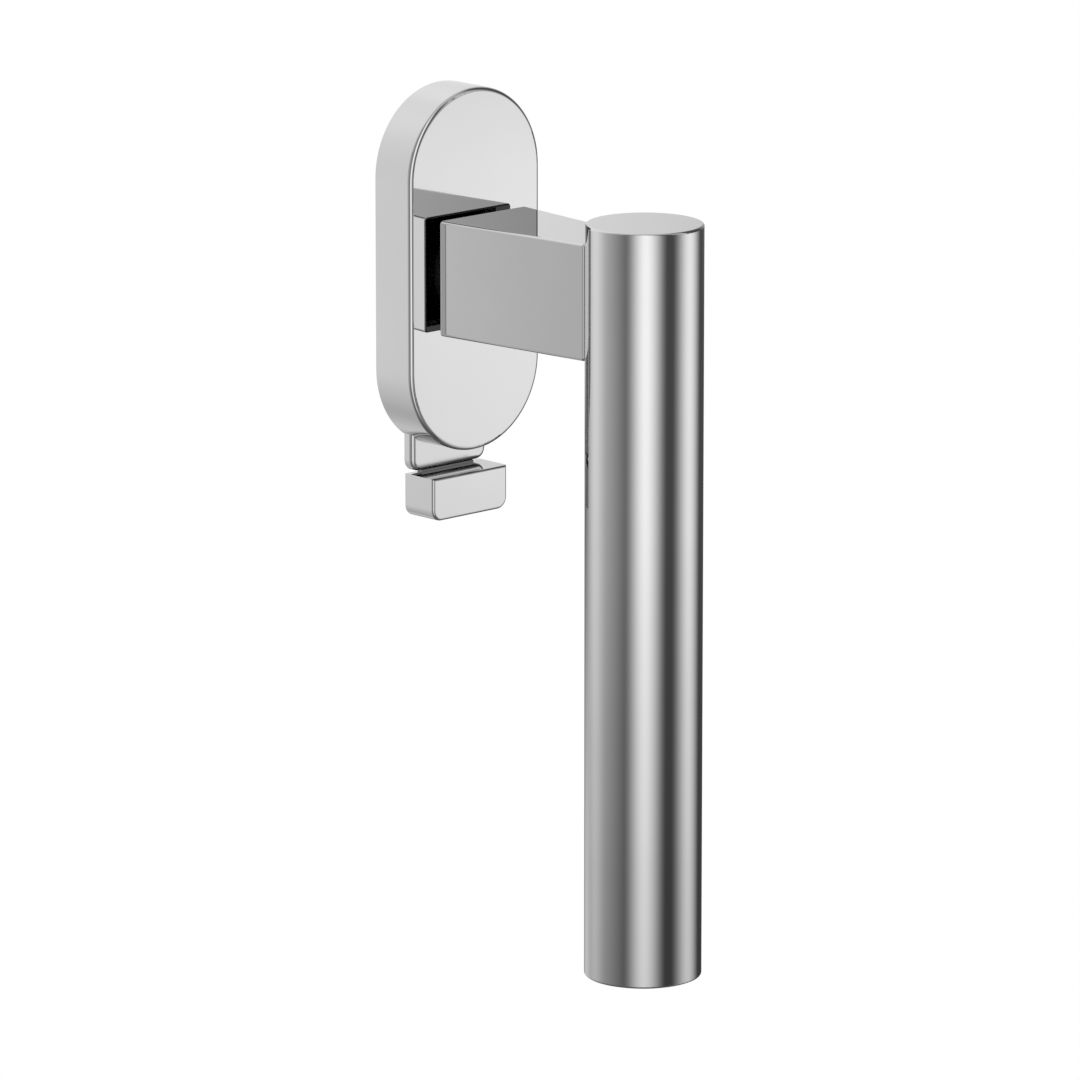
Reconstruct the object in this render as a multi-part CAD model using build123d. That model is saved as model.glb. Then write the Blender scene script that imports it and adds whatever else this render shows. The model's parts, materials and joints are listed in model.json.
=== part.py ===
"""Window handle with a round grip, a wedge-shaped neck, a stadium rosette and a lock slide.

The origin is the centre of the rosette's back face, on the spindle axis. +Z is up and the
room side is -Y, so a distance out from the wall is a positive depth along -Y.
"""
import os
from math import cos, radians, sin, sqrt, tan

from build123d import *

# Rosette cover
rosette_width = 30.0
rosette_height = 63.0
rosette_depth = 8.8
cover_wall = 1.0
cover_edge_round = 0.75
cover_fit = 0.1

# Neck
neck_gap = 1.8
neck_width = 20.0
neck_height = 20.0
neck_taper = 6.0
neck_edge_round = 0.6
neck_seat_round = 0.35
neck_back_round = 0.3
journal_radius = 6.5
spigot_radius = 4.5
spigot_reach = 12.0

# Grip
grip_diameter = 20.0
grip_length = 130.0
grip_rise = 13.9
grip_offset = 50.4
grip_edge_round = 0.45
seat_joint = 0.03

# Square spindle and its grub screw
spindle_width = 7.0
spindle_tail = 11.0
spindle_reach = 21.5
spindle_fit = 0.03
spindle_end_round = 0.6
grub_radius = 2.5
grub_depth = 16.0
grub_inset = 0.3
grub_socket = 2.5
grub_socket_depth = 2.5

# Base plate and its fixing
boss_wall = 1.5
lug_radius = 5.0
lug_length = 6.0
lug_core_radius = 4.8
screw_spacing = 43.0
screw_radius = 2.5
screw_shank_radius = 2.2
screw_thread_gap = 0.4
screw_tip = 0.5
screw_clearance = 0.25
screw_seat = 0.02
screw_length = 16.0
screw_head_radius = 4.6
screw_socket = 3.0
screw_socket_depth = 1.8

# Bearing bush
bush_wall = 1.0
bush_collar_radius = 8.0
collar_clearance = 0.25
bush_flange_width = 1.3
bush_flange_thickness = 0.6
running_clearance = 0.03
axial_clearance = 0.05

# Index cam, its rollers, springs and retaining ring
cam_radius = 9.5
cam_back_gap = 0.15
cam_cover = 0.5
cam_rim = 1.9
cam_web = 1.85
cam_clearance = 0.2
positions = 4
seat_depth = 0.45
roller_radius = 1.75
roller_length = 3.5
detent_clearance = 0.02
roller_angle = 45.0
spring_radius = 1.25
spring_wire = 0.36
spring_length = 2.4
spring_turns = 3
pocket_clearance = 0.05
ring_thickness = 0.9
ring_groove_depth = 0.55
ring_overlap = 2.3
ring_gap = 60.0

# Sheet that closes the cam recess from behind
sheet_thickness = 0.8
sheet_margin = 1.2
sheet_edge = 0.4
sheet_corner = 2.0
sheet_fit = 0.1
sheet_hole_gap = 0.5
sheet_screw_radius = 0.9
sheet_screw_head = 1.75
sheet_screw_length = 3.2
sheet_screw_gap = 0.3
sheet_screw_angles = (90.0, 210.0, 330.0)

# Lock slide
slide_width = 17.3
slide_thickness = 2.0
slide_back = 0.1
slide_travel = 2.6
slide_clearance = 0.15
slide_corner = 2.0
slide_edge_round = 0.85
slide_shoulder = 1.85
shoulder_drop = 7.0
slide_reveal = 4.2
tongue_width = 5.0
tongue_gap = 0.5
bridge_gap = 0.4
notch_clearance = 0.1
guide_inset = 0.75
guide_rise = 3.0
guide_radius = 1.5
guide_thread_radius = 1.25
guide_head_radius = 2.5
guide_head_thickness = 1.2
guide_head_room = 0.8
guide_clearance = 0.1
slide_ball_radius = 1.0
slide_ball_offset = 4.5
slide_ball_inset = 2.2
slide_dimple_depth = 0.3
slide_spring_radius = 0.7
slide_spring_wire = 0.26
slide_spring_turns = 3
slide_bore_floor = 0.5

# Finger block
block_height = 7.5
block_back = 0.3
block_front = 7.4
block_corner = 2.0
block_edge_round = 0.5
block_joint = 0.4
tenon_width = 12.0
tenon_thickness = 1.2
tenon_length = 5.0
tenon_fit = 0.05
pin_radius = 0.8
pin_offset = 3.5
pin_length = 4.0

# Depths out from the wall, worked out from the sizes above
cover_inside = rosette_depth - cover_wall
base_thickness = cover_inside - guide_head_thickness - guide_head_room
neck_back = rosette_depth + neck_gap
bush_front = cover_inside - axial_clearance
collar_front = neck_back - axial_clearance
cam_back = sheet_thickness + cam_back_gap
cam_front = base_thickness - cam_cover
recess_front = cam_front + cam_clearance
journal_back = cam_front + axial_clearance
cam_cup_front = cam_front - cam_web
ring_front = cam_cup_front - axial_clearance
ring_back = ring_front - ring_thickness
roller_back = sheet_thickness + pocket_clearance
roller_front = roller_back + roller_length
slide_front = slide_back + slide_thickness
channel_front = slide_front + slide_clearance
tenon_back = slide_back + (slide_thickness - tenon_thickness) / 2
tenon_front = tenon_back + tenon_thickness
slide_ball_depth = slide_front + detent_clearance + slide_ball_radius
slide_bore_end = base_thickness - slide_bore_floor

# Radii and distances from the spindle axis
bush_inner = journal_radius + running_clearance
bush_outer = bush_inner + bush_wall
flange_radius = bush_outer + bush_flange_width
recess_radius = cam_radius + cam_clearance
boss_radius = recess_radius + boss_wall
cam_cup_radius = cam_radius - cam_rim
spindle_bore = spindle_width + 2 * spindle_fit
spindle_corner = spindle_width / sqrt(2)
ring_inner = spindle_corner - ring_groove_depth
ring_outer = ring_inner + ring_overlap
roller_distance = cam_radius + detent_clearance + roller_radius
spring_start = roller_distance + roller_radius + detent_clearance + spring_wire / 2
pocket_end = spring_start + spring_length + spring_wire / 2 + detent_clearance
sheet_screw_distance = recess_radius + sheet_screw_head + sheet_screw_gap

# Widths, heights and drops below the spindle axis
base_width = rosette_width - 2 * (cover_wall + cover_fit)
base_height = rosette_height - 2 * (cover_wall + cover_fit)
screw_heights = (screw_spacing / 2, -screw_spacing / 2)
roller_angles = (roller_angle, 180.0 - roller_angle)
sheet_half_width = base_width / 2 - sheet_margin
sheet_top = sheet_screw_distance + sheet_screw_head + sheet_edge
sheet_screw_drop = -sheet_screw_distance * sin(radians(sheet_screw_angles[1]))
sheet_bottom = sheet_screw_drop + sheet_screw_head + sheet_edge
bridge_top = cam_radius + bridge_gap + slide_travel
tongue_top = cam_radius + tongue_gap
slide_shoulder_drop = (rosette_height - rosette_width) / 2 + shoulder_drop
guide_drop = slide_shoulder_drop - guide_rise
guide_places = (slide_width / 2 - guide_inset, guide_inset - slide_width / 2)
slide_ball_drop = bridge_top + slide_ball_inset
block_drop = rosette_height / 2 + slide_reveal
block_bottom = block_drop + block_height
plate_bottom = block_drop - block_joint
pin_drop = block_drop + tenon_length / 2
pin_places = (-pin_offset, pin_offset)
BASE = (Align.CENTER, Align.CENTER, Align.MIN)


def facing(depth):
    """Plane parallel to the wall at a depth, with local x to the right and local y up."""
    return Plane(origin=(0, -depth, 0), x_dir=(1, 0, 0), z_dir=(0, -1, 0))


def slab(outline, start, stop):
    """Outline in the wall's plane, raised from one depth to another."""
    return facing(start) * extrude(outline, stop - start)


def disc(radius, start, stop, x=0.0, z=0.0):
    """Round bar along the depth, between two depths."""
    return facing(start) * Pos(x, z, 0) * Cylinder(radius, stop - start, align=BASE)


def taper(radius, end_radius, start, stop, x=0.0, z=0.0):
    """Cone along the depth, between two depths."""
    return facing(start) * Pos(x, z, 0) * Cone(radius, end_radius, stop - start, align=BASE)


def block(left, right, low, high, start, stop):
    """Box given by its limits in x, z and depth."""
    outline = Pos((left + right) / 2, (low + high) / 2) * Rectangle(right - left, high - low)
    return slab(outline, start, stop)


def hexagon_socket(across_flats, start, stop, x=0.0, z=0.0):
    """Six-sided hole along the depth."""
    outline = Pos(x, z) * RegularPolygon(across_flats / 2, 6, major_radius=False)
    return slab(outline, start, stop)


def stadium(width, height):
    """Upright outline with two straight sides and two half-round ends."""
    return SlotOverall(height, width, rotation=90)


def around(shape, angle):
    """Shape turned about the spindle axis."""
    return shape.rotate(Axis((0, 0, 0), (0, -1, 0)), angle)


def coil(radius, wire, length, turns):
    """Coil spring that stands on the origin and runs along +Z."""
    path = Helix(length / turns, length, radius)
    section = Plane(origin=path @ 0, x_dir=(1, 0, 0), z_dir=path % 0) * Rectangle(wire, wire)
    return sweep(section, path=path, is_frenet=True)


def countersunk(shank, head, tip, face, x=0.0, z=0.0):
    """Countersunk screw along the depth, from its tip to the face of its head."""
    rise = head - shank
    screw = disc(shank, min(tip, face), max(tip, face), x, z)
    if face > tip:
        return screw + taper(shank, head, face - rise, face, x, z)
    return screw + taper(head, shank, face, face + rise, x, z)


def radial(shape, angle, distance, depth):
    """Shape that runs along +Z, laid along a radius of the spindle axis."""
    direction = (cos(radians(angle)), 0, sin(radians(angle)))
    start = (distance * direction[0], -depth, distance * direction[2])
    return Plane(origin=start, x_dir=(0, -1, 0), z_dir=direction) * shape


def make_cover():
    """Cap over the base plate, with a hole for the bush and a slot for the slide."""
    shell = slab(stadium(rosette_width, rosette_height), 0, rosette_depth)
    shell = fillet(shell.faces().sort_by(Axis.Y)[0].edges(), cover_edge_round)
    inside_width = rosette_width - 2 * cover_wall
    inside_height = rosette_height - 2 * cover_wall
    shell -= slab(stadium(inside_width, inside_height), 0, cover_inside)
    shell -= disc(bush_collar_radius + collar_clearance, cover_inside, rosette_depth)
    slot_half = slide_width / 2 + slide_clearance
    shell -= block(-slot_half, slot_half, -rosette_height / 2, -screw_spacing / 2, 0, channel_front)
    return shell


def slide_channel():
    """Room behind the base plate that the slide plate moves in, around the lower lug."""
    narrow = slide_width / 2 + slide_clearance
    wide = narrow + slide_shoulder
    low = slide_shoulder_drop + slide_clearance
    high = bridge_top - slide_travel - slide_clearance
    tongue = tongue_width / 2 + slide_clearance
    room = block(-narrow, narrow, -rosette_height / 2, -low, 0, channel_front)
    room += block(-wide, wide, -low, -high, 0, channel_front)
    room += block(-tongue, tongue, -high, -cam_cup_radius, 0, channel_front)
    return room - disc(lug_core_radius, 0, channel_front, z=screw_heights[1])


def roller_pocket(angle):
    """Pocket for one detent roller and its spring, open towards the cam and the sheet."""
    width = 2 * (roller_radius + pocket_clearance)
    depth = roller_front + pocket_clearance
    pocket = Box(depth, width, pocket_end - cam_radius, align=(Align.MIN, Align.CENTER, Align.MIN))
    return radial(pocket, angle, cam_radius, 0)


def sheet_outline(grow):
    """Rounded rectangle behind the cam, wide enough for the sheet screws."""
    height = sheet_top + sheet_bottom + 2 * grow
    plate = RectangleRounded(2 * (sheet_half_width + grow), height, sheet_corner)
    return Pos(0, (sheet_top - sheet_bottom) / 2) * plate


def sheet_screw_places():
    """Places in the wall's plane of the sheet screws, spread round the spindle."""
    angles = [radians(angle) for angle in sheet_screw_angles]
    return [(sheet_screw_distance * cos(angle), sheet_screw_distance * sin(angle)) for angle in angles]


def sheet_screw_shape(place, grow):
    """One sheet screw, or with some growth the hole for it."""
    tip = sheet_screw_length + grow
    return countersunk(sheet_screw_radius + grow, sheet_screw_head + grow, tip, 0, *place)


def make_base_plate():
    """Cast plate under the cover, with its lugs, boss, recesses and bores."""
    plate = slab(stadium(base_width, base_height), 0, base_thickness)
    plate += disc(boss_radius, base_thickness, cover_inside)
    for z in screw_heights:
        plate += disc(lug_radius, -lug_length, 0, z=z)
    plate -= disc(recess_radius, 0, recess_front)
    plate -= disc(bush_outer, recess_front, cover_inside)
    plate -= disc(flange_radius, bush_front - bush_flange_thickness, cover_inside)
    plate -= slab(sheet_outline(sheet_fit), 0, sheet_thickness)
    plate -= slide_channel()
    for angle in roller_angles:
        plate -= roller_pocket(angle)
    for z in screw_heights:
        shank = screw_radius + screw_clearance
        plate -= countersunk(shank, screw_head_radius + screw_seat, -lug_length, base_thickness, z=z)
    for place in sheet_screw_places():
        plate -= sheet_screw_shape(place, screw_seat)
    slot = SlotCenterToCenter(slide_travel, 2 * (guide_radius + guide_clearance), rotation=90)
    for x in guide_places:
        plate -= slab(Pos(x, slide_travel / 2 - guide_drop) * slot, 0, base_thickness)
    bore = slide_ball_radius + pocket_clearance
    plate -= disc(bore, slide_front, slide_bore_end, slide_ball_offset, -slide_ball_drop)
    return plate


def make_fixing_screws():
    """Two countersunk screws through the lugs, thicker where the thread is."""
    screws = []
    tip = base_thickness - screw_length
    thread_start = -lug_length - screw_thread_gap
    for z in screw_heights:
        screw = countersunk(screw_shank_radius, screw_head_radius, thread_start, base_thickness, z=z)
        screw += disc(screw_radius, tip + screw_tip, thread_start, z=z)
        screw += taper(screw_radius - screw_tip, screw_radius, tip, tip + screw_tip, z=z)
        screw -= hexagon_socket(screw_socket, base_thickness - screw_socket_depth, base_thickness, z=z)
        screws.append(screw)
    return screws


def make_bush():
    """Flanged bush in the base plate's boss, with a collar that spaces the neck from the cover."""
    bush = disc(bush_outer, recess_front, bush_front)
    bush += disc(flange_radius, bush_front - bush_flange_thickness, bush_front)
    bush += disc(bush_collar_radius, bush_front, collar_front)
    return bush - disc(bush_inner, recess_front, collar_front)


def make_back_sheet():
    """Sheet behind the cam, with a hole for the spindle and a notch for the tongue."""
    sheet = slab(sheet_outline(0), 0, sheet_thickness)
    sheet -= disc(spindle_corner + sheet_hole_gap, 0, sheet_thickness)
    notch_half = tongue_width / 2 + slide_clearance
    notch_top = tongue_top - slide_travel - slide_clearance
    sheet -= block(-notch_half, notch_half, -sheet_bottom, -notch_top, 0, sheet_thickness)
    for place in sheet_screw_places():
        sheet -= sheet_screw_shape(place, screw_seat)
    return sheet


def make_sheet_screws():
    """Three small countersunk screws that hold the sheet."""
    return [sheet_screw_shape(place, 0) for place in sheet_screw_places()]


def make_cam():
    """Castellated ring on the spindle, with roller seats on its rim and notches for the tongue."""
    cam = disc(cam_radius, cam_back, cam_front)
    cam -= disc(cam_cup_radius, cam_back, cam_cup_front)
    cam -= slab(Rectangle(spindle_bore, spindle_bore), cam_back, cam_front)
    notch_half = tongue_width / 2 + notch_clearance
    notch = block(-notch_half, notch_half, -recess_radius, 0, cam_back, channel_front)
    seat_centre = cam_radius - seat_depth + roller_radius
    seat = disc(roller_radius, cam_back, cam_front, x=seat_centre)
    for position in range(positions):
        angle = position * 360 / positions
        cam -= around(notch, angle)
        cam -= around(seat, angle + roller_angle)
    return cam


def make_detent_rollers():
    """Two rollers that click into the cam's seats."""
    roller = disc(roller_radius, roller_back, roller_front, x=roller_distance)
    return [around(roller, angle) for angle in roller_angles]


def make_detent_springs():
    """Two coil springs behind the rollers."""
    spring = coil(spring_radius, spring_wire, spring_length, spring_turns)
    depth = (roller_back + roller_front) / 2
    return [radial(spring, angle, spring_start, depth) for angle in roller_angles]


def make_spindle():
    """Square bar through the cam into the neck, grooved for the retaining ring."""
    spindle = slab(Rectangle(spindle_width, spindle_width), -spindle_tail, spindle_reach)
    ends = spindle.faces().sort_by(Axis.Y)
    spindle = chamfer(ends[0].edges() + ends[-1].edges(), spindle_end_round)
    groove = disc(spindle_width, ring_back - axial_clearance, cam_cup_front)
    groove -= disc(ring_inner - running_clearance, ring_back - axial_clearance, cam_cup_front)
    return spindle - groove


def make_retaining_ring():
    """Open ring in the spindle's groove, behind the cam's web."""
    ring = disc(ring_outer, ring_back, ring_front) - disc(ring_inner, ring_back, ring_front)
    half_gap = ring_outer * tan(radians(ring_gap / 2))
    wedge = Polyline((0, 0), (ring_outer, half_gap), (ring_outer, -half_gap), close=True)
    return ring - slab(make_face(wedge), ring_back, ring_front)


def make_neck():
    """Wedge between rosette and grip, with its journal, spigot and square bore."""
    back_half = neck_width / 2
    front_half = back_half - (grip_offset - neck_back) * tan(radians(neck_taper))
    plan = Polyline(
        (-back_half, -neck_back),
        (back_half, -neck_back),
        (front_half, -grip_offset),
        (-front_half, -grip_offset),
        close=True,
    )
    wedge = extrude(make_face(plan), neck_height / 2, both=True)
    long_edges = wedge.edges().filter_by(Axis.X, reverse=True).filter_by(Axis.Z, reverse=True)
    wedge = fillet(long_edges, neck_edge_round)
    back = wedge.faces().sort_by(Axis.Y)[-1]
    wedge = fillet(back.edges(), neck_back_round)
    saddle_radius = grip_diameter / 2 + seat_joint
    saddle = Pos(0, -grip_offset, 0) * Cylinder(saddle_radius, 2 * neck_height)
    wedge -= saddle
    rim = wedge.faces().filter_by(GeomType.CYLINDER).sort_by(SortBy.AREA)[-1].edges()
    wedge = fillet(rim, neck_seat_round)
    neck = wedge + disc(journal_radius, journal_back, neck_back)
    saddle_depth = grip_offset - saddle_radius
    neck += disc(spigot_radius, saddle_depth - spigot_radius, saddle_depth + spigot_reach)
    neck -= slab(Rectangle(spindle_bore, spindle_bore), journal_back, spindle_reach + spindle_fit)
    return neck - Pos(0, -grub_depth, -neck_height / 2) * Cylinder(grub_radius, neck_height / 2, align=BASE)


def make_grub_screw():
    """Headless screw under the neck that holds the spindle."""
    low = -neck_height / 2 + grub_inset
    high = -spindle_width / 2
    screw = Pos(0, -grub_depth, low) * Cylinder(grub_radius, high - low, align=BASE)
    socket = extrude(RegularPolygon(grub_socket / 2, 6, major_radius=False), grub_socket_depth)
    return screw - Pos(0, -grub_depth, low) * socket


def make_grip():
    """Round bar with rounded ends, bored for the neck's spigot."""
    centre = grip_rise - grip_length / 2
    bar = Pos(0, -grip_offset, centre) * Cylinder(grip_diameter / 2, grip_length)
    ends = bar.faces().filter_by(GeomType.PLANE).edges()
    bar = fillet(ends, grip_edge_round)
    bore_end = grip_offset - grip_diameter / 2 + spigot_reach
    return bar - disc(spigot_radius + seat_joint, neck_back, bore_end + seat_joint)


def make_slide_plate():
    """Flat slide with a window round the lower lug, a tongue for the cam and a tenon."""
    half = slide_width / 2
    wide = half + slide_shoulder
    lower = block(-half, half, -plate_bottom, -slide_shoulder_drop, slide_back, slide_front)
    bottom = lower.faces().sort_by(Axis.Z)[0]
    lower = fillet(bottom.edges().filter_by(Axis.Y), slide_corner)
    rim = lower.faces().sort_by(Axis.Y)[0].edges().sort_by(Axis.Z)[:-1]
    lower = fillet(rim, slide_edge_round)
    plate = lower + block(-wide, wide, -slide_shoulder_drop, -bridge_top, slide_back, slide_front)
    tongue = tongue_width / 2
    plate += block(-tongue, tongue, -bridge_top, -tongue_top, slide_back, slide_front)
    tenon_half = tenon_width / 2
    tenon_bottom = -block_drop - tenon_length
    plate += block(-tenon_half, tenon_half, tenon_bottom, -plate_bottom, tenon_back, tenon_front)
    window = SlotCenterToCenter(slide_travel, 2 * (lug_radius + slide_clearance), rotation=90)
    window_centre = screw_heights[1] - slide_travel / 2
    plate -= slab(Pos(0, window_centre) * window, slide_back, slide_front)
    for x in guide_places:
        plate -= disc(guide_thread_radius, slide_back, slide_front, x, -guide_drop)
    dimple_depth = slide_front - slide_dimple_depth + slide_ball_radius
    for drop in (slide_ball_drop, slide_ball_drop + slide_travel):
        plate -= Pos(slide_ball_offset, -dimple_depth, -drop) * Sphere(slide_ball_radius)
    for x in pin_places:
        plate -= disc(pin_radius, tenon_back, tenon_front, x, -pin_drop)
    return plate


def make_finger_block():
    """Block under the slide plate, with rounded lower corners and a slot for the tenon."""
    half = slide_width / 2
    body = block(-half, half, -block_bottom, -block_drop, block_back, block_front)
    bottom = body.faces().sort_by(Axis.Z)[0]
    body = fillet(bottom.edges().filter_by(Axis.Y), block_corner)
    body = fillet(body.faces().sort_by(Axis.Y)[0].edges(), block_edge_round)
    tenon_half = tenon_width / 2 + tenon_fit
    floor = block_drop + tenon_length + tenon_fit
    body -= block(-tenon_half, tenon_half, -floor, -block_drop, block_back, tenon_front + tenon_fit)
    for x in pin_places:
        body -= disc(pin_radius, tenon_back, tenon_back + pin_length, x, -pin_drop)
    return body


def make_block_pins():
    """Two pins through the tenon, driven in from the block's back."""
    return [disc(pin_radius, tenon_back, tenon_back + pin_length, x, -pin_drop) for x in pin_places]


def make_guide_screws():
    """Two shoulder screws in the slide plate, with their heads in front of the base plate."""
    screws = []
    head_back = base_thickness + axial_clearance
    for x in guide_places:
        screw = disc(guide_thread_radius, slide_back, slide_front, x, -guide_drop)
        screw += disc(guide_radius, slide_front, head_back, x, -guide_drop)
        screw += disc(guide_head_radius, head_back, head_back + guide_head_thickness, x, -guide_drop)
        screws.append(screw)
    return screws


def make_slide_ball():
    """Ball that holds the slide up or down."""
    return Pos(slide_ball_offset, -slide_ball_depth, -slide_ball_drop) * Sphere(slide_ball_radius)


def make_slide_spring():
    """Coil spring behind the slide's ball."""
    inner_radius = slide_spring_radius - slide_spring_wire / 2
    contact = slide_ball_depth + sqrt(slide_ball_radius**2 - inner_radius**2)
    end_room = slide_spring_wire / 2 + detent_clearance
    start = contact + end_room
    length = slide_bore_end - end_room - start
    spring = coil(slide_spring_radius, slide_spring_wire, length, slide_spring_turns)
    return facing(start) * Pos(slide_ball_offset, -slide_ball_drop) * spring


def save(name, shape):
    """Write one piece, or a group of like pieces, to its own file."""
    solids = shape if isinstance(shape, list) else [shape]
    export_step(Compound(children=solids) if len(solids) > 1 else solids[0], f"parts/{name}.step")


pieces = {
    "rosette_cover": make_cover,
    "base_plate": make_base_plate,
    "fixing_screws": make_fixing_screws,
    "bearing_bush": make_bush,
    "back_sheet": make_back_sheet,
    "sheet_screws": make_sheet_screws,
    "detent_rollers": make_detent_rollers,
    "detent_springs": make_detent_springs,
    "slide_ball": make_slide_ball,
    "slide_spring": make_slide_spring,
    "grip": make_grip,
    "neck": make_neck,
    "square_spindle": make_spindle,
    "grub_screw": make_grub_screw,
    "index_cam": make_cam,
    "retaining_ring": make_retaining_ring,
    "slide_plate": make_slide_plate,
    "guide_screws": make_guide_screws,
    "finger_block": make_finger_block,
    "block_pins": make_block_pins,
}

os.makedirs("parts", exist_ok=True)
for name, make in pieces.items():
    save(name, make())
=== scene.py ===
"""Looks, camera and studio for the window handle."""
import json
from collections import namedtuple
from math import cos, pi, radians, sin

import bmesh
import bpy
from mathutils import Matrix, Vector


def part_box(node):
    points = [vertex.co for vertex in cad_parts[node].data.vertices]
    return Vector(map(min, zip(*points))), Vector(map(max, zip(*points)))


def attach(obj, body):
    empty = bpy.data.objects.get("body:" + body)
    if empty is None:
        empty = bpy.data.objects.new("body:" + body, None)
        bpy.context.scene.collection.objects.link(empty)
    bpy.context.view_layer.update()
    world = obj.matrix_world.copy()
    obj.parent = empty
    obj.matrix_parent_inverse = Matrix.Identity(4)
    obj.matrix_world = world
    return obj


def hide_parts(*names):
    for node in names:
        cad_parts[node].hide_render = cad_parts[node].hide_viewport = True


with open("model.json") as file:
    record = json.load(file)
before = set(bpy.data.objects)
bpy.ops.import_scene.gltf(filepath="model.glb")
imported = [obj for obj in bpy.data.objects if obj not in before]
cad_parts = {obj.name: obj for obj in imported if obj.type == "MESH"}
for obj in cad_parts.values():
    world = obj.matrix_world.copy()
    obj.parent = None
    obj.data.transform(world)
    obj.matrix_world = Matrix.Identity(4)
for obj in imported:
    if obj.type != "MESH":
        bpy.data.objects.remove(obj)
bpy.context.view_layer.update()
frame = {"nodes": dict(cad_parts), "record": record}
scene = bpy.context.scene
scene.view_settings.view_transform = "Standard"

# Camera: turned to the photograph's viewing angle, aimed at a point beside the spindle axis
camera_turn = radians(43.23)
camera_tilt = radians(13.03)
camera_distance = 1.5
camera_lens = 289.55
camera_sensor = 36.0
aim_right = 0.01703
aim_height = -0.04887

# Directions of the view: along it, to its right, and level towards the camera
forward = Vector((
    sin(camera_turn) * cos(camera_tilt),
    cos(camera_turn) * cos(camera_tilt),
    -sin(camera_tilt),
))
right = Vector((cos(camera_turn), -sin(camera_turn), 0.0))
toward = Vector((-sin(camera_turn), -cos(camera_turn), 0.0))

# Soft studio panels: degrees from the camera's side, and heights as shares of the tent's radius
Panel = namedtuple("Panel", "compass spread lowest highest brightness")
camera_panel = Panel(compass=5, spread=40, lowest=-1.5, highest=1.5, brightness=1.2)
right_panel = Panel(compass=92, spread=40, lowest=-1.5, highest=0.05, brightness=1.02)
upper_right_panel = Panel(compass=80, spread=30, lowest=0.1, highest=0.9, brightness=0.6)
left_panel = Panel(compass=-95, spread=90, lowest=-1.5, highest=1.5, brightness=0.5)
inner_left_panel = Panel(compass=-110, spread=40, lowest=-1.0, highest=1.5, brightness=0.35)
back_panel = Panel(compass=-165, spread=65, lowest=-0.05, highest=1.5, brightness=0.85)
back_floor_panel = Panel(compass=-150, spread=35, lowest=-1.5, highest=-0.5, brightness=0.8)
panels = (
    camera_panel,
    right_panel,
    upper_right_panel,
    left_panel,
    inner_left_panel,
    back_panel,
    back_floor_panel,
)
panel_fade = 0.2
dark_glow = 0.08

# Tent that carries the panels: shaded towards the floor, with a plain ground and ceiling
low_shade = 0.65
shade_from = -0.2
shade_to = -0.7
ground_glow = 0.12
ground_from = -0.65
ground_to = -0.97
ceiling_glow = 0.6
ceiling_from = 0.8
ceiling_to = 0.98
tent_centre = (0.0, -0.03, 0.0)
tent_radius = 0.28
tent_segments = 96
tent_rings = 48

# Floor disc
floor_height = -0.6
floor_radius = 0.3
floor_vertices = 128
floor_tone = 0.95
floor_roughness = 0.9

# Grain of all surfaces
dark_stop = 0.3
light_stop = 0.7
cloud_detail = 4.0
haze_fineness = 4.0
relief_height = 0.0002

# Chrome, and painted shade that darkens it at the slide plate's foot and the neck's back, in metres
chrome_colour = (0.69, 0.69, 0.69)
chrome_gloss = (0.03, 0.06)
block_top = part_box("finger_block")[1].z
rosette_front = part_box("rosette_cover")[0].y
# Painted shade: along one axis the colour blends to a dark tone between two levels, standing in for
# shadow in a joint
Bare = namedtuple("Bare", "axis plated_to bare_from tone")
# Painted shade on the slide plate's foot, darker towards the finger block below it
plate_foot_shade = Bare(axis="Z", plated_to=block_top + 0.0014, bare_from=block_top + 0.0003, tone=0.25)
# Painted shade on the neck's back face, in the gap to the rosette cover
neck_back_shade = Bare(axis="Y", plated_to=rosette_front - 0.0020, bare_from=rosette_front - 0.0019, tone=0.09)

# Turned screws
millimetre = 0.001
columns = 48
sharp_angle = radians(35.0)

# Fixing screws, in millimetres, with depths out from the wall
mount_sizes = {mount["name"]: mount["dims"] for mount in frame["record"]["mounts"]}
screw_pattern = mount_sizes["screw_ends"]
screw_offset = screw_pattern["spacing_y_mm"] / 2
screw_places = ((0.0, screw_offset), (0.0, -screw_offset))
screw_front, screw_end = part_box("fixing_screws")
screw_face = -screw_front.y / millimetre
screw_head_radius = 4.6
screw_head_height = 2.4
screw_shank_radius = 2.2
socket_width = 3.0
socket_depth = 1.8
thread_radius = screw_pattern["stud_r_mm"]
thread_depth = 0.45
thread_pitch = 0.8
thread_crest = 0.14
thread_root = 0.84
thread_length = 3.8
thread_tip = -screw_end.y / millimetre
thread_start = thread_tip + thread_length
tip_taper = 0.5
rows_per_turn = 10

# Sheet screws, in millimetres, with depths out from the wall
sheet_screw_distance = 11.75
sheet_screw_angles = (90.0, 210.0, 330.0)
sheet_screw_end, sheet_screw_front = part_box("sheet_screws")
sheet_screw_face = -sheet_screw_front.y / millimetre
sheet_screw_tip = -sheet_screw_end.y / millimetre
sheet_head_radius = 1.75
sheet_head_height = 0.85
sheet_shank_radius = 0.9
cross_reach = 1.0
cross_half_width = 0.28
cross_depth = 0.6
cross_floor = 0.5
least_sine = 0.01


def grey(brightness):
    """Opaque colour with the same red, green and blue."""
    return (brightness, brightness, brightness, 1.0)


def feed(tree, node, inputs):
    """Gives a node's inputs their values or links."""
    for name, value in inputs.items():
        if isinstance(value, bpy.types.NodeSocket):
            tree.links.new(value, node.inputs[name])
        else:
            node.inputs[name].default_value = value


def add(tree, kind, inputs, **settings):
    """New node with its inputs and settings."""
    node = tree.nodes.new(kind)
    for name, value in settings.items():
        setattr(node, name, value)
    feed(tree, node, inputs)
    return node


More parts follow.
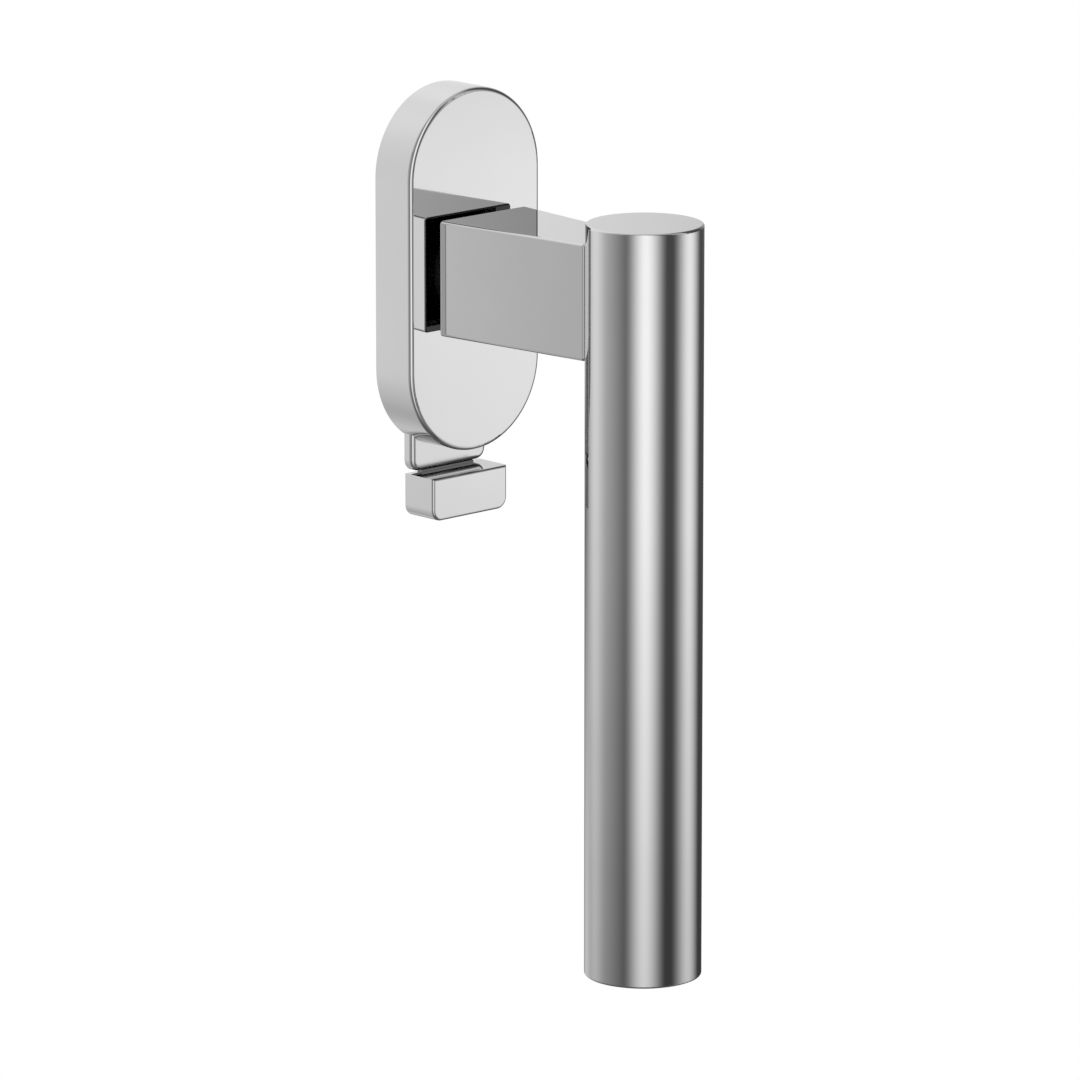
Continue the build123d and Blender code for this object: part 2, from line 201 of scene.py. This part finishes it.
def step(tree, value, low, high, first=0.0, last=1.0):
    """Smooth step from a first to a last level while a value goes from low to high."""
    inputs = {"Value": value, "From Min": low, "From Max": high, "To Min": first, "To Max": last}
    return add(tree, "ShaderNodeMapRange", inputs, interpolation_type="SMOOTHSTEP").outputs["Result"]


def calculate(tree, operation, *values):
    """Result of one operation on links and plain numbers."""
    return add(tree, "ShaderNodeMath", dict(enumerate(values)), operation=operation).outputs["Value"]


def blend(tree, factor, first, brightness):
    """Mix of a colour or value with a plain brightness."""
    inputs = {"Fac": factor, "Color1": first, "Color2": grey(brightness)}
    return add(tree, "ShaderNodeMixRGB", inputs).outputs["Color"]


def tone_ramp(tree, factor, dark, light):
    """Colour that goes from dark to light with a factor."""
    node = add(tree, "ShaderNodeValToRGB", {"Fac": factor})
    stops = ((dark_stop, dark), (light_stop, light))
    for element, (position, colour) in zip(node.color_ramp.elements, stops):
        element.position = position
        element.color = (*colour, 1.0)
    return node.outputs["Color"]


def make_camera():
    """Camera on its line of sight, level from side to side."""
    data = bpy.data.cameras.new("camera")
    data.lens = camera_lens
    data.sensor_width = camera_sensor
    camera = bpy.data.objects.new("camera", data)
    scene.collection.objects.link(camera)
    target = right * aim_right + Vector((0.0, 0.0, aim_height))
    camera.location = target - forward * camera_distance
    camera.rotation_euler = (pi / 2 - camera_tilt, 0.0, -camera_turn)
    scene.camera = camera


def make_world():
    """Plain white light from all sides."""
    world = bpy.data.worlds.new("studio")
    scene.world = world
    world.use_nodes = True
    world.node_tree.nodes["Background"].inputs["Color"].default_value = grey(1.0)


def panel_light():
    """Glow of the studio's panels by their direction from the tent's centre."""
    material = bpy.data.materials.new("studio_panels")
    material.use_nodes = True
    material.cycles.emission_sampling = "NONE"
    tree = material.node_tree
    tree.nodes.clear()
    place = add(tree, "ShaderNodeTexCoord", {}).outputs["Object"]
    direction = add(tree, "ShaderNodeVectorMath", {0: place}, operation="NORMALIZE").outputs["Vector"]
    across = add(tree, "ShaderNodeVectorMath", {0: direction, 1: right}, operation="DOT_PRODUCT")
    along = add(tree, "ShaderNodeVectorMath", {0: direction, 1: toward}, operation="DOT_PRODUCT")
    height = add(tree, "ShaderNodeSeparateXYZ", {0: direction}).outputs["Z"]
    angle = calculate(tree, "ARCTAN2", across.outputs["Value"], along.outputs["Value"])
    light = dark_glow
    for panel in panels:
        aside = calculate(tree, "SUBTRACT", angle, radians(panel.compass))
        aside = calculate(tree, "WRAP", aside, pi, -pi)
        aside = calculate(tree, "ABSOLUTE", aside)
        share = step(tree, aside, radians(panel.spread), 0.0)
        above = step(tree, height, panel.lowest - panel_fade, panel.lowest + panel_fade)
        below = step(tree, height, panel.highest + panel_fade, panel.highest - panel_fade)
        share = calculate(tree, "MULTIPLY", share, above)
        share = calculate(tree, "MULTIPLY", share, below)
        light = calculate(tree, "MULTIPLY_ADD", share, panel.brightness, light)
    shade = step(tree, height, shade_from, shade_to, 1.0, low_shade)
    light = calculate(tree, "MULTIPLY", light, shade)
    light = blend(tree, step(tree, height, ground_from, ground_to), light, ground_glow)
    light = blend(tree, step(tree, height, ceiling_from, ceiling_to), light, ceiling_glow)
    glow = add(tree, "ShaderNodeEmission", {"Color": light}).outputs["Emission"]
    add(tree, "ShaderNodeOutputMaterial", {"Surface": glow})
    return material


def make_tent():
    """Round tent of soft bright and dark panels, which only shows in the metal."""
    bpy.ops.mesh.primitive_uv_sphere_add(segments=tent_segments, ring_count=tent_rings)
    tent = bpy.context.object
    tent.name = "studio_tent"
    tent.location = tent_centre
    tent.scale = (tent_radius, tent_radius, tent_radius)
    tent.visible_camera = False
    tent.visible_diffuse = False
    tent.visible_shadow = False
    tent.data.materials.append(panel_light())


def make_floor():
    """Pale disc under the object."""
    bpy.ops.mesh.primitive_circle_add(vertices=floor_vertices, radius=floor_radius, fill_type="NGON")
    floor = bpy.context.object
    floor.name = "floor"
    floor.location = (0.0, 0.0, floor_height)
    material = bpy.data.materials.new("floor")
    material.use_nodes = True
    tree = material.node_tree
    paint = {"Base Color": grey(floor_tone), "Roughness": floor_roughness, "Specular IOR Level": 0.0}
    feed(tree, tree.nodes["Principled BSDF"], paint)
    floor.data.materials.append(material)


def make_surface(
    name, colour, spread, gloss, grain, stretch=(1.0, 1.0, 1.0), relief=0.0, metal=1.0, bare=None
):
    """Material whose tone and gloss vary with a fine grain, with relief or painted shade past a level
    where asked.
    """
    material = bpy.data.materials.new(name)
    material.use_nodes = True
    tree = material.node_tree
    shader = tree.nodes["Principled BSDF"]
    place = add(tree, "ShaderNodeTexCoord", {}).outputs["Object"]
    lay = add(tree, "ShaderNodeMapping", {"Vector": place, "Scale": stretch}).outputs["Vector"]
    cloud = add(tree, "ShaderNodeTexNoise", {"Vector": lay, "Scale": grain, "Detail": cloud_detail})
    haze = add(tree, "ShaderNodeTexNoise", {"Vector": lay, "Scale": haze_fineness * grain})
    dark = [part * (1 - spread) for part in colour]
    light = [part * (1 + spread) for part in colour]
    paint = tone_ramp(tree, cloud.outputs["Fac"], dark, light)
    # Painted shade: past a level along one axis the colour blends to a dark tone
    if bare:
        split = add(tree, "ShaderNodeSeparateXYZ", {0: place})
        share = step(tree, split.outputs[bare.axis], bare.plated_to, bare.bare_from)
        paint = blend(tree, share, paint, bare.tone)
    limits = {"Value": haze.outputs["Fac"], "To Min": gloss[0], "To Max": gloss[1]}
    polish = add(tree, "ShaderNodeMapRange", limits).outputs["Result"]
    feed(tree, shader, {"Base Color": paint, "Roughness": polish, "Metallic": metal})
    if relief:
        height = {"Height": haze.outputs["Fac"], "Strength": relief, "Distance": relief_height}
        feed(tree, shader, {"Normal": add(tree, "ShaderNodeBump", height).outputs["Normal"]})
    return material


def dress(names, material):
    """Gives one material to some of the frame's nodes."""
    for name in names:
        for slot in frame["nodes"][name].material_slots:
            slot.material = material


def even(radius):
    """Ring of one radius."""
    return lambda angle: radius


def hexagon(angle):
    """Outline of the fixing screw's socket."""
    return socket_width / 2 / cos(angle % (pi / 3) - pi / 6)


def cross(scale):
    """Outline of the sheet screw's cross recess."""
    def outline(angle):
        off_arm = abs((angle + pi / 4) % (pi / 2) - pi / 4)
        return scale * min(cross_reach / cos(off_arm), cross_half_width / max(sin(off_arm), least_sine))
    return outline


def thread(depth):
    """Ring through the thread at a depth, tapered at the screw's tip."""
    tip_radius = thread_radius - tip_taper + depth - thread_tip
    def outline(angle):
        phase = (depth / thread_pitch - angle / (2 * pi)) % 1
        flank = (abs(2 * phase - 1) - thread_crest) / (thread_root - thread_crest)
        cut = thread_depth * min(max(flank, 0.0), 1.0)
        return min(thread_radius - cut, tip_radius)
    return outline


def turned_piece(name, rows, places, material):
    """Turned bodies along the depth, from rows of (depth, outline) between two flat ends."""
    vertices = []
    faces = []
    for x, z in places:
        start = len(vertices)
        for depth, outline in rows:
            for column in range(columns):
                angle = 2 * pi * column / columns
                reach = outline(angle)
                point = Vector((x + reach * cos(angle), -depth, z + reach * sin(angle)))
                vertices.append(point * millimetre)
        rings = [range(start + columns * row, start + columns * (row + 1)) for row in range(len(rows))]
        faces += [tuple(rings[0]), tuple(rings[-1])]
        for near, far in zip(rings, rings[1:]):
            for column in range(columns):
                after = (column + 1) % columns
                faces.append((near[column], near[after], far[after], far[column]))
    mesh = bpy.data.meshes.new(name)
    mesh.from_pydata(vertices, [], faces)
    shape = bmesh.new()
    shape.from_mesh(mesh)
    bmesh.ops.recalc_face_normals(shape, faces=shape.faces)
    shape.to_mesh(mesh)
    shape.free()
    mesh.shade_smooth()
    mesh.set_sharp_from_angle(angle=sharp_angle)
    mesh.materials.append(material)
    piece = bpy.data.objects.new(name, mesh)
    scene.collection.objects.link(piece)
    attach(piece, "rosette")
    return piece


def make_fixing_screws(material):
    """Two countersunk screws with a hexagon socket and a cut thread at the end."""
    rows = [
        (screw_face - socket_depth, hexagon),
        (screw_face, hexagon),
        (screw_face, even(screw_head_radius)),
        (screw_face - screw_head_height, even(screw_shank_radius)),
        (thread_start, even(screw_shank_radius)),
    ]
    row_count = int(rows_per_turn * thread_length / thread_pitch)
    for row in range(row_count + 1):
        depth = thread_start - thread_length * row / row_count
        rows.append((depth, thread(depth)))
    piece = turned_piece("threaded_screws", rows, screw_places, material)
    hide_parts("fixing_screws")


def make_sheet_screws(material):
    """Three small countersunk screws with a cross recess."""
    rows = [
        (sheet_screw_face + cross_depth, cross(cross_floor)),
        (sheet_screw_face, cross(1.0)),
        (sheet_screw_face, even(sheet_head_radius)),
        (sheet_screw_face + sheet_head_height, even(sheet_shank_radius)),
        (sheet_screw_tip, even(sheet_shank_radius)),
    ]
    angles = [radians(angle) for angle in sheet_screw_angles]
    places = [(sheet_screw_distance * cos(angle), sheet_screw_distance * sin(angle)) for angle in angles]
    piece = turned_piece("cross_screws", rows, places, material)
    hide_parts("sheet_screws")


make_camera()
make_world()
make_tent()
make_floor()

# Materials
chrome = make_surface(
    "polished_chrome", chrome_colour, spread=0.015, gloss=chrome_gloss, grain=60.0
)
# Chrome with painted shade on the neck's back face
neck_chrome_shaded = make_surface(
    "neck_chrome_shaded", chrome_colour, spread=0.015, gloss=chrome_gloss, grain=60.0, bare=neck_back_shade
)
# Satin chrome with painted shade at the slide plate's foot
satin = make_surface(
    "satin_chrome", chrome_colour, spread=0.02, gloss=(0.13, 0.16), grain=150.0, bare=plate_foot_shade
)
casting = make_surface(
    "die_cast", (0.55, 0.56, 0.57), spread=0.08, gloss=(0.4, 0.55), grain=250.0, relief=0.3
)
zinc = make_surface(
    "plated_steel", (0.62, 0.63, 0.65), spread=0.06, gloss=(0.24, 0.36), grain=200.0,
    stretch=(1.0, 1.0, 0.15), relief=0.05
)
steel = make_surface(
    "bearing_steel", (0.5, 0.5, 0.52), spread=0.06, gloss=(0.15, 0.28), grain=400.0
)
plastic = make_surface(
    "bush_plastic", (0.012, 0.012, 0.012), spread=0.3, gloss=(0.45, 0.55), grain=900.0, metal=0.0
)

# Pieces
dress(("rosette_cover", "grip", "finger_block"), chrome)
dress(("neck",), neck_chrome_shaded)
dress(("slide_plate",), satin)
dress(("base_plate",), casting)
dress(("back_sheet", "square_spindle", "grub_screw", "guide_screws"), zinc)
dress(("detent_rollers", "detent_springs", "slide_ball", "slide_spring"), steel)
dress(("index_cam", "retaining_ring", "block_pins"), steel)
dress(("bearing_bush",), plastic)
make_fixing_screws(zinc)
make_sheet_screws(zinc)
